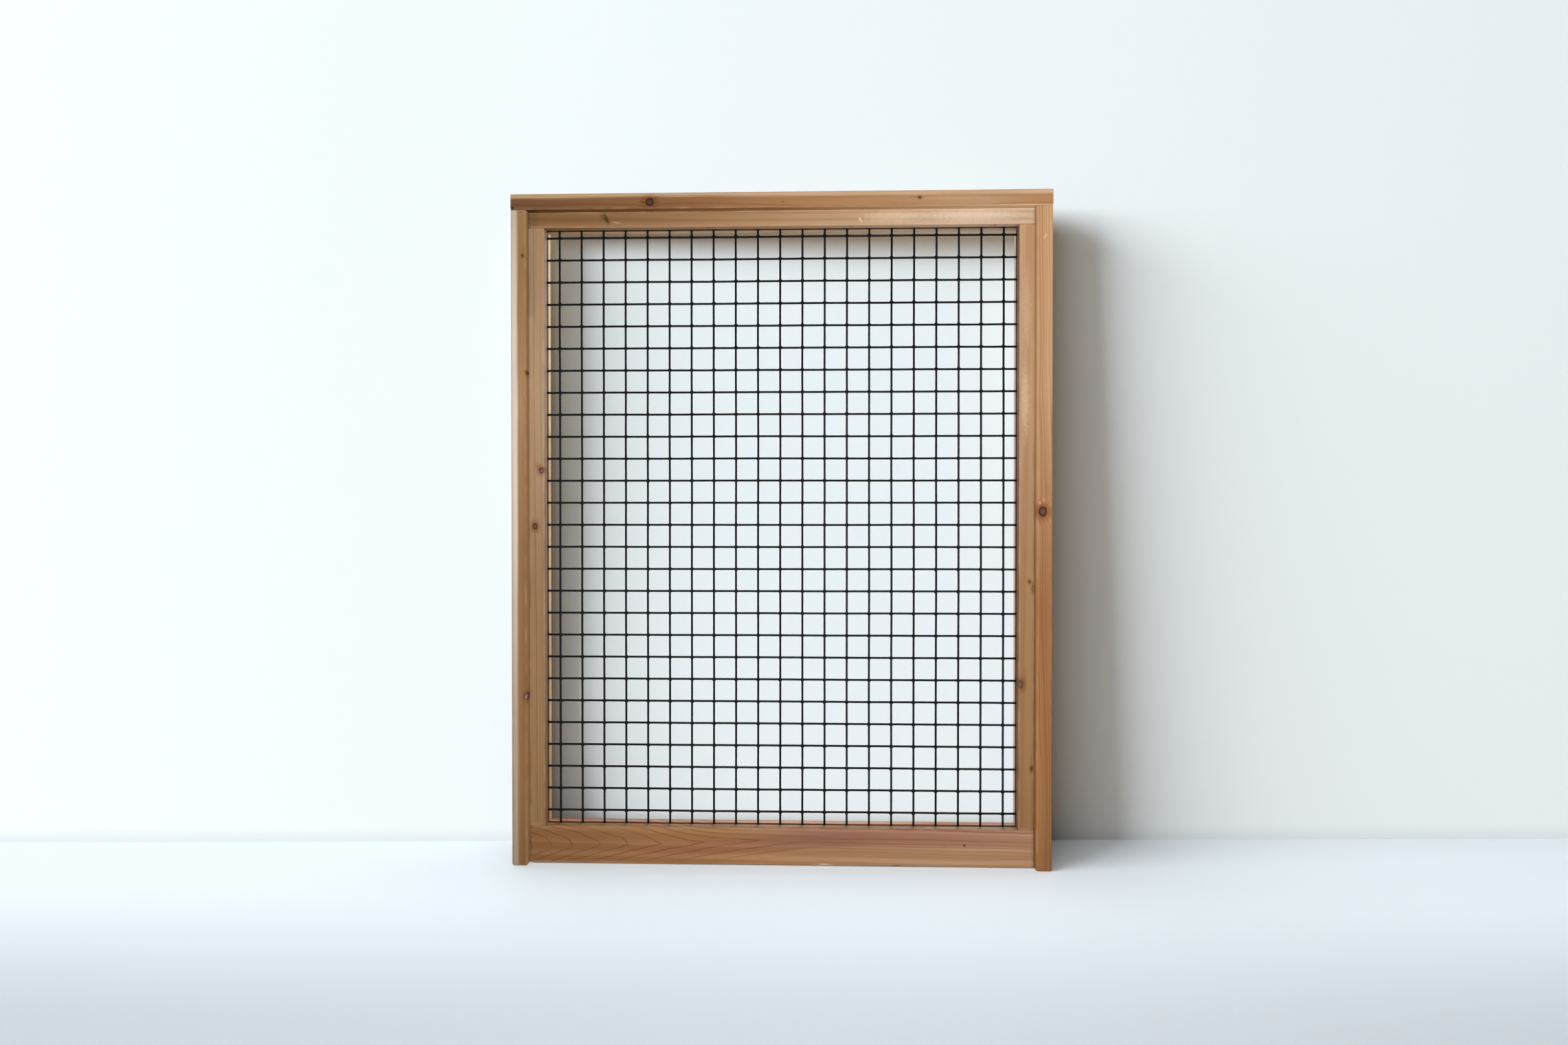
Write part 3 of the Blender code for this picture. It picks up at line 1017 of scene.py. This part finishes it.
def makeInnerStrip(node, name, wood, opening):
    low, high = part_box(node)
    if opening in ("left", "right"):       # without the stub tongues, which the rails' grooves would hide
        low.z = openingBase + joint
        high.z = openingTop - joint
    if opening != "left":
        low.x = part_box("left_outer_stile")[1].x + joint
    if opening != "right":
        high.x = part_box("right_outer_stile")[0].x - joint
    if opening == "down":
        high.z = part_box("top_cap")[0].z - joint
    # the far edge is eased where it is free, and crisp against the rim
    strip = groovedStrip(low, high, opening, innerStrip["arris" if opening == "up" else "tight"])
    weather(strip)
    mouth = (0, 0, 1) if opening in ("up", "left") else (0, 0, -1)
    finishPiece(strip, name, [node], makeCedar(name + "Cedar", wood, low, high, mouth))


makeCap()
makeRimStile("left_outer_stile", "leftRimStile", leftRimBoard)
makeRimStile("right_outer_stile", "rightRimStile", rightRimBoard)
print("rim made")
makeInnerStrip("top_rail", "topGroovedRail", topRailBoard, "down")
makeInnerStrip("bottom_rail", "bottomGroovedRail", bottomRailBoard, "up")
makeInnerStrip("left_inner_stile", "leftGroovedStile", leftInnerBoard, "right")
makeInnerStrip("right_inner_stile", "rightGroovedStile", rightInnerBoard, "left")
print("inner frame made")


# Wire mesh in its black coating
coating = {
    "tone": (7, 7, 8),
    # a grey on the wires' upward faces: dust, and painted sheen from light above
    "dustAndSheen": (34, 33, 32),
    "dustAndSheenShow": 0.35,
    "dustAndSheenFacing": (0.1, 0.9),
    "dustAndSheenPatch": (0.35, 0.75),
    "patchGrain": 40,
    "peelGrain": 1400,
    "rough": 0.4,
    "patchRough": 0.3,
    "dustRough": 0.25,
    "specular": 0.12,
    "bump": 0.3,
    "bumpDepth": 0.05 * mm,
    "uprights": 21,
    "crossWires": 27,
    "sides": 14,
    "bends": 54,
    "endEase": 0.25 * mm,
    "wander": 0.5 * mm,
    "wanderSize": 0.09,
    "wireSoft": 50,
    "webReach": 2.1 * mm,
    "webThick": 1.7 * mm,
    "webEase": 0.45 * mm,
    "webSpread": 0.5 * mm,
    "webSpreadSize": 0.004,
    "webMiddle": 0.6,
    "webSoft": 60,
}


def makeCoating():
    material, surface = newPaint("blackCoating")
    place = newNode("ShaderNodeTexCoord").outputs["Object"]
    facing = parts(newNode("ShaderNodeNewGeometry").outputs["Normal"])[2]
    peel = noise(place, coating["peelGrain"])
    patch = noise(place, coating["patchGrain"], detail=3.0)
    # upward faces lighter in patches: grey dust and painted sheen
    dustAndSheen = times(ease(facing, *coating["dustAndSheenFacing"]), ease(patch, *coating["dustAndSheenPatch"]))
    colour = covered(times(dustAndSheen, coating["dustAndSheenShow"]), tint(*coating["tone"]), coating["dustAndSheen"])
    rough = swayed(coating["rough"], patch, coating["patchRough"])
    rough = plus(rough, times(dustAndSheen, coating["dustRough"]))
    finishPaint(surface, coating, colour, rough, peel)
    return material


def drawWire(low, high, axis):
    # one straight wire with eased ends, cut along its length so that it can wander
    size = high - low
    bpy.ops.mesh.primitive_cylinder_add(vertices=coating["sides"], radius=size.y / 2, depth=size[axis],
                                        location=(low + high) / 2, rotation=axisTurn(axis))
    wire = startPiece()
    pickEdges(wire, lambda spot, span: near(spot[axis], low[axis]) or near(spot[axis], high[axis]))
    easeEdges(coating["endEase"], steps=2)
    pickEdges(wire, lambda spot, span: abs(span[axis]) > 0.5 * size[axis])
    bpy.ops.mesh.subdivide(number_cuts=coating["bends"])
    sealMesh(wire)
    return wire


def makeWires(stem, count, axis, name, material):
    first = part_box(stem + "01")
    pattern = drawWire(*first, axis)
    sideways = "X" if axis == 2 else "Z"
    for index in range(count):
        node = "%s%02d" % (stem, index + 1)
        takeUp(pattern)
        bpy.ops.object.duplicate(linked=False)
        wire = bpy.context.object
        wire.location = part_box(node)[0] - first[0]
        settle(wire)
        unevenFaces(wire, "wireWander", coating["wanderSize"], coating["wander"], sideways, 0.5)
        softShade(wire, coating["wireSoft"])
        finishPiece(wire, "%s%02d" % (name, index + 1), [node], material)
    bpy.data.objects.remove(pattern)


def makeWelds(columns, rows, material):
    # where two wires cross, the coating webs the corners between them
    low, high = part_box("upright_wire_01")
    crossing = Vector(((low.x + high.x) / 2, (wireLow.y + crossHigh.y) / 2, (crossLow.z + crossHigh.z) / 2))
    side = coating["webReach"] * math.sqrt(2)
    bpy.ops.mesh.primitive_cube_add(
        size=1, location=crossing, rotation=(0, math.pi / 4, 0), scale=(side, coating["webThick"], side))
    web = startPiece()
    easeEdges(coating["webEase"], steps=1)
    clearPicks()
    pitch = Vector((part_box("upright_wire_02")[0].x - low.x, 0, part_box("cross_wire_02")[0].z - crossLow.z))
    for count, step in ((columns, (pitch.x, 0, 0)), (rows, (0, 0, pitch.z))):
        array = web.modifiers.new("rows", "ARRAY")
        array.count = count
        array.use_relative_offset = False
        array.use_constant_offset = True
        array.constant_offset_displace = step
        applyStep(web, array)
    unevenFaces(web, "webSpread", coating["webSpreadSize"], coating["webSpread"],
                middle=coating["webMiddle"])
    sealMesh(web)
    softShade(web, coating["webSoft"])
    web.name = "weldWebs"
    web.data.name = "weldWebs"
    web.data.materials.append(material)
    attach(web, "root")


black = makeCoating()
makeWires("upright_wire_", coating["uprights"], 2, "uprightWire", black)
makeWires("cross_wire_", coating["crossWires"], 0, "crossWire", black)
makeWelds(coating["uprights"], coating["crossWires"], black)
print("mesh made")


# Brads
brad = {
    "steel": (70, 58, 50),
    "rust": (92, 52, 30),
    "rustGrain": 1100,
    "rustEdge": (0.45, 0.65),
    "metal": 0.9,
    "rustDull": 0.7,
    "rough": 0.4,
    "rustRough": 0.35,
    "specular": 0.5,
    "bump": 0.4,
    "bumpDepth": 0.05 * mm,
    "sides": 20,
    "thick": 0.8 * mm,
    "shank": 0.7 * mm,
    "point": 2 * mm,
    "rim": 0.3 * mm,
    "slope": 0.4 * mm,
    "dish": 0.15 * mm,
    "soft": 40,
}


def makeSteel():
    material, surface = newPaint("darkenedSteel")
    place = newNode("ShaderNodeTexCoord").outputs["Object"]
    rust = ease(noise(place, brad["rustGrain"], detail=3.0), *brad["rustEdge"])
    feed(minus(brad["metal"], times(rust, brad["rustDull"])), surface.inputs["Metallic"])
    colour = covered(rust, tint(*brad["steel"]), brad["rust"])
    rough = calc("MULTIPLY_ADD", rust, brad["rustRough"], brad["rough"])
    finishPaint(surface, brad, colour, rough, rust)
    return material


def makeBrad(node, name, material, axis):
    # head first, then the shank drawn out of its inner face and brought to a point
    low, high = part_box(node)
    size = high - low
    head = size.y / 2
    straight = size[axis] - brad["thick"] - brad["point"]
    middle = (low + high) / 2
    middle[axis] = low[axis] + brad["thick"] / 2
    bpy.ops.mesh.primitive_cylinder_add(vertices=brad["sides"], radius=head, depth=brad["thick"],
                                        location=middle, rotation=axisTurn(axis))
    nail = startPiece()
    drive = Vector((0, 0, 0))
    drive[axis] = 1
    pickFaces(nail, lambda spot, facing: facing[axis] > mostly)
    bpy.ops.mesh.inset(thickness=head - brad["shank"])
    drawOut(drive * straight)
    drawOut(drive * brad["point"])
    bpy.ops.mesh.merge(type="CENTER")
    pickFaces(nail, lambda spot, facing: facing[axis] < -mostly)
    bpy.ops.mesh.inset(thickness=brad["rim"])
    bpy.ops.mesh.inset(thickness=brad["slope"])
    bpy.ops.transform.translate(value=drive * brad["dish"])
    sealMesh(nail)
    softShade(nail, brad["soft"])
    finishPiece(nail, name, [node], material)


steel = makeSteel()
for number in (1, 2, 3, 4):
    makeBrad("cap_brad_%d" % number, "capBrad%d" % number, steel, 2)
makeBrad("stile_brad", "stileBrad", steel, 0)
print("brads made")


# Camera, floor, wall and light
shot = {"place": (0.0263, -0.7465, 0.2674), "tilt": 89.465, "turn": 1.791, "lens": 22.495, "sensor": 36}
room = {
    "reach": 9.0,
    "wallGap": 10 * mm,
    "wallLean": 3.2,
    "wallTurn": 2.2,
    "wallBelow": 20 * mm,
    "wall": (239, 247, 251),
    # painted shade on the wall's foot, darker down at the floor
    "wallFootShade": (2, 14 * mm, 0.0, (226, 235, 241)),            # darker down at the floor
    "floor": (232, 237, 241),
    # painted shade on the floor, darker towards the camera
    "floorFrontShade": (1, -0.05, -0.27, (196, 199, 204)),          # darker towards the camera
    "floorBounce": (150, 124, 98),
    "rollerGrain": 260,
    "rough": 0.85,
    "specular": 0.2,
    "bump": 0.08,
    "bumpDepth": 0.3 * mm,
}
felts = {
    "tone": (60, 52, 46),
    "deep": 53 * mm,
    "inside": 2 * mm,
    "standInside": 5 * mm,
    "standOutside": 12 * mm,
    "standGap": 5 * mm,
    "standTurn": 1.2,
}
daylight = (0.912, 0.968, 1)
softWhite = (1, 0.995, 0.985)


def lampAt(lights, place, size, power, tone=softWhite, aim=(0, 0, 0.25)):
    return {"lights": lights, "place": Vector(place), "aim": Vector(aim), "size": size, "power": power,
            "tone": tone}


lamps = {
    "window": lampAt("room", (-11.9, -6.0, 3.8), (9.4, 6.5), 3520, daylight),
    "sideWindow": lampAt("room", (-6.7, -11.6, 4.3), (10.2, 6.5), 620, daylight),
    "floorLift": lampAt("floor", (0.08, -0.42, 0.45), (0.5, 0.2), 0.9, (0.96, 0.99, 1),
                        aim=(0.08, -0.1, 0)),
    "softbox": lampAt("board", (0.05, -1.6, 0.31), (2.0, 0.6), 25, aim=(0.05, 0, 0.31)),
    "bounce": lampAt("board", (0, -0.85, 0.012), (2.4, 1.5), 4.5, (1, 0.98, 0.95), aim=(0, -0.85, 1)),
    "rightFill": lampAt("left", (2.4, -0.9, 0.42), (1.2, 0.8), 26),
    "leftFill": lampAt("right", (-2.4, -0.9, 0.42), (1.2, 0.8), 20),
    "back": lampAt("board", (0.5, 1.8, 1.3), (1.6, 1.6), 28, (1, 1, 1)),
}
around = {"backdrop": (236, 241, 244), "glow": (255, 238, 222), "strength": 0.07}


def addCamera():
    clearPicks()
    bpy.ops.object.camera_add(
        location=shot["place"], rotation=(math.radians(shot["tilt"]), 0, math.radians(shot["turn"])))
    camera = bpy.context.object
    camera.name = "photoCamera"
    camera.data.lens = shot["lens"]
    camera.data.sensor_width = shot["sensor"]
    bpy.context.scene.camera = camera


def paintStage(name, tone, bounce, fade=None, seeThrough=False):
    # tone is for the camera and can fade into another along an axis, bounce is thrown on the surroundings
    material, surface = newPaint(name)
    place = newNode("ShaderNodeNewGeometry").outputs["Position"]
    shown = tint(*tone)
    if fade:
        axis, start, end, farTone = fade
        shown = covered(ease(parts(place)[axis], start, end), shown, farTone)
    path = newNode("ShaderNodeLightPath").outputs
    seen = calc("MAXIMUM", path["Is Camera Ray"], path["Is Glossy Ray"])
    roller = noise(place, room["rollerGrain"], detail=3.0)
    finishPaint(surface, room, mixTint(seen, tint(*bounce), shown), room["rough"], roller)
    if seeThrough:
        # only its front shows, and lamps behind it reach the board's back
        behind = newNode("ShaderNodeNewGeometry").outputs["Backfacing"]
        clear = newNode("ShaderNodeBsdfTransparent")
        swap = newNode("ShaderNodeMixShader")
        feed(calc("MAXIMUM", path["Is Shadow Ray"], behind), swap.inputs[0])
        feed(surface.outputs[0], swap.inputs[1])
        feed(clear.outputs[0], swap.inputs[2])
        feed(swap.outputs[0], material.node_tree.nodes["Material Output"].inputs["Surface"])
    return material


def addSheet(name, size, place, turn, paint):
    bpy.ops.mesh.primitive_plane_add(size=size, location=place, rotation=turn)
    sheet = bpy.context.object
    sheet.name = name
    sheet.data.materials.append(paint)
    return sheet


def addStage():
    clearPicks()
    floorPaint = paintStage("floorPaint", room["floor"], room["floorBounce"], room["floorFrontShade"])
    floor = addSheet("paleFloor", room["reach"], (0, 0, 0), (0, 0, 0), floorPaint)
    # the board leans, so its foot is farther from the wall than its top; here the wall is tilted instead
    lean = math.radians(room["wallLean"])
    wallHeight = room["reach"] / 2 * math.cos(lean) - room["wallBelow"]
    wallDepth = cadHigh.y + room["wallGap"] - (wallHeight - cadHigh.z) * math.tan(lean)
    wallTurn = (math.pi / 2 + lean, 0, math.radians(room["wallTurn"]))
    wallPaint = paintStage("wallPaint", room["wall"], room["wall"], room["wallFootShade"], seeThrough=True)
    wall = addSheet("paleWall", room["reach"], (0, wallDepth, wallHeight), wallTurn, wallPaint)
    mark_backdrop(floor, wall)
    # felt between the board and the wall, so that no light comes through behind the stiles
    feltGrey = paintStage("feltGrey", felts["tone"], felts["tone"])
    for side in ("left", "right"):
        rimLow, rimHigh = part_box(side + "_outer_stile")
        feltFront = cadHigh.y - felts["standGap"] - felts["inside"]
        feltPlace = ((rimLow.x + rimHigh.x) / 2, feltFront + felts["deep"] / 2, rimHigh.z / 2)
        felt = addSheet("darkFelt" + side.capitalize(), 1, feltPlace, axisTurn(0), feltGrey)
        felt.scale = (rimHigh.z, felts["deep"], 1)
        settle(felt)
        felt.visible_camera = False
        felt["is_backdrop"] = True
    # the shadow inside the left stile is no wider at the foot than at the top: a stand-in that leans like
    # the wall throws it instead of the stile
    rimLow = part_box("left_outer_stile")[0]
    stripLow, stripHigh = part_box("left_inner_stile")
    standLow = Vector((rimLow.x + felts["standOutside"], stripLow.y, 0))
    standSize = Vector((stripHigh.x - felts["standInside"], stripHigh.y, cadHigh.z)) - standLow
    pivot = Vector((stripHigh.x, cadHigh.y, cadHigh.z))
    bpy.ops.mesh.primitive_cube_add(size=1, location=standLow + standSize / 2 - pivot)
    standIn = bpy.context.object
    standIn.name = "standIn"
    standIn.scale = standSize
    settle(standIn)
    standIn.rotation_euler = (lean, math.radians(felts["standTurn"]), 0)
    standIn.location = pivot - Vector((0, felts["standGap"], 0))
    settle(standIn)
    standIn.visible_camera = False
    standIn.data.materials.append(feltGrey)
    standIn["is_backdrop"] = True


def sortForLight():
    # the windows light the wall and floor, floorLift the floor and the other lamps the part, the fills
    # only the stiles across from them, so that their sides stay as dim as the wall beside them; wires and
    # the left stiles, which the stand-in stands for, throw no shadow from the windows
    names = ("room", "floor", "board", "left", "right", "shade", "clear")
    groups = {name: bpy.data.collections.new(name + "Light") for name in names}
    for thing in bpy.context.scene.objects:
        if thing.type == "MESH":
            groups["room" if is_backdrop(thing) else "board"].objects.link(thing)
            if not thing.name.startswith(("uprightWire", "crossWire", "weldWebs", "left")):
                groups["shade"].objects.link(thing)
            if thing.name == "standIn":
                groups["clear"].objects.link(thing)
            if thing.name == "paleFloor":
                groups["floor"].objects.link(thing)
            for side in ("left", "right"):
                if thing.name.startswith(side):
                    groups[side].objects.link(thing)
    groups["clear"].collection_objects[0].light_linking.link_state = "EXCLUDE"
    return groups


def addLamps():
    groups = sortForLight()
    for name, lamp in lamps.items():
        bpy.ops.object.light_add(type="AREA", location=lamp["place"])
        light = bpy.context.object
        light.name = name + "Lamp"
        light.data.shape = "RECTANGLE"
        light.data.size, light.data.size_y = lamp["size"]
        light.data.energy = lamp["power"]
        light.data.color = lamp["tone"]
        light.rotation_euler = (lamp["aim"] - lamp["place"]).to_track_quat("-Z", "Y").to_euler()
        light.visible_camera = False
        light.light_linking.receiver_collection = groups[lamp["lights"]]
        light.light_linking.blocker_collection = groups["shade" if lamp["lights"] == "room" else "clear"]
    world = bpy.data.worlds.new("paleRoom")
    bpy.context.scene.world = world
    world.use_nodes = True
    desk["tree"] = world.node_tree
    sky = world.node_tree.nodes["Background"]
    seen = newNode("ShaderNodeLightPath").outputs["Is Camera Ray"]
    feed(covered(seen, tint(*around["glow"]), around["backdrop"]), sky.inputs["Color"])
    feed(lifted(seen, around["strength"]), sky.inputs["Strength"])


addCamera()
addStage()
addLamps()
bpy.context.scene.view_settings.view_transform = "Standard"
clearPicks()
print("camera and light set")
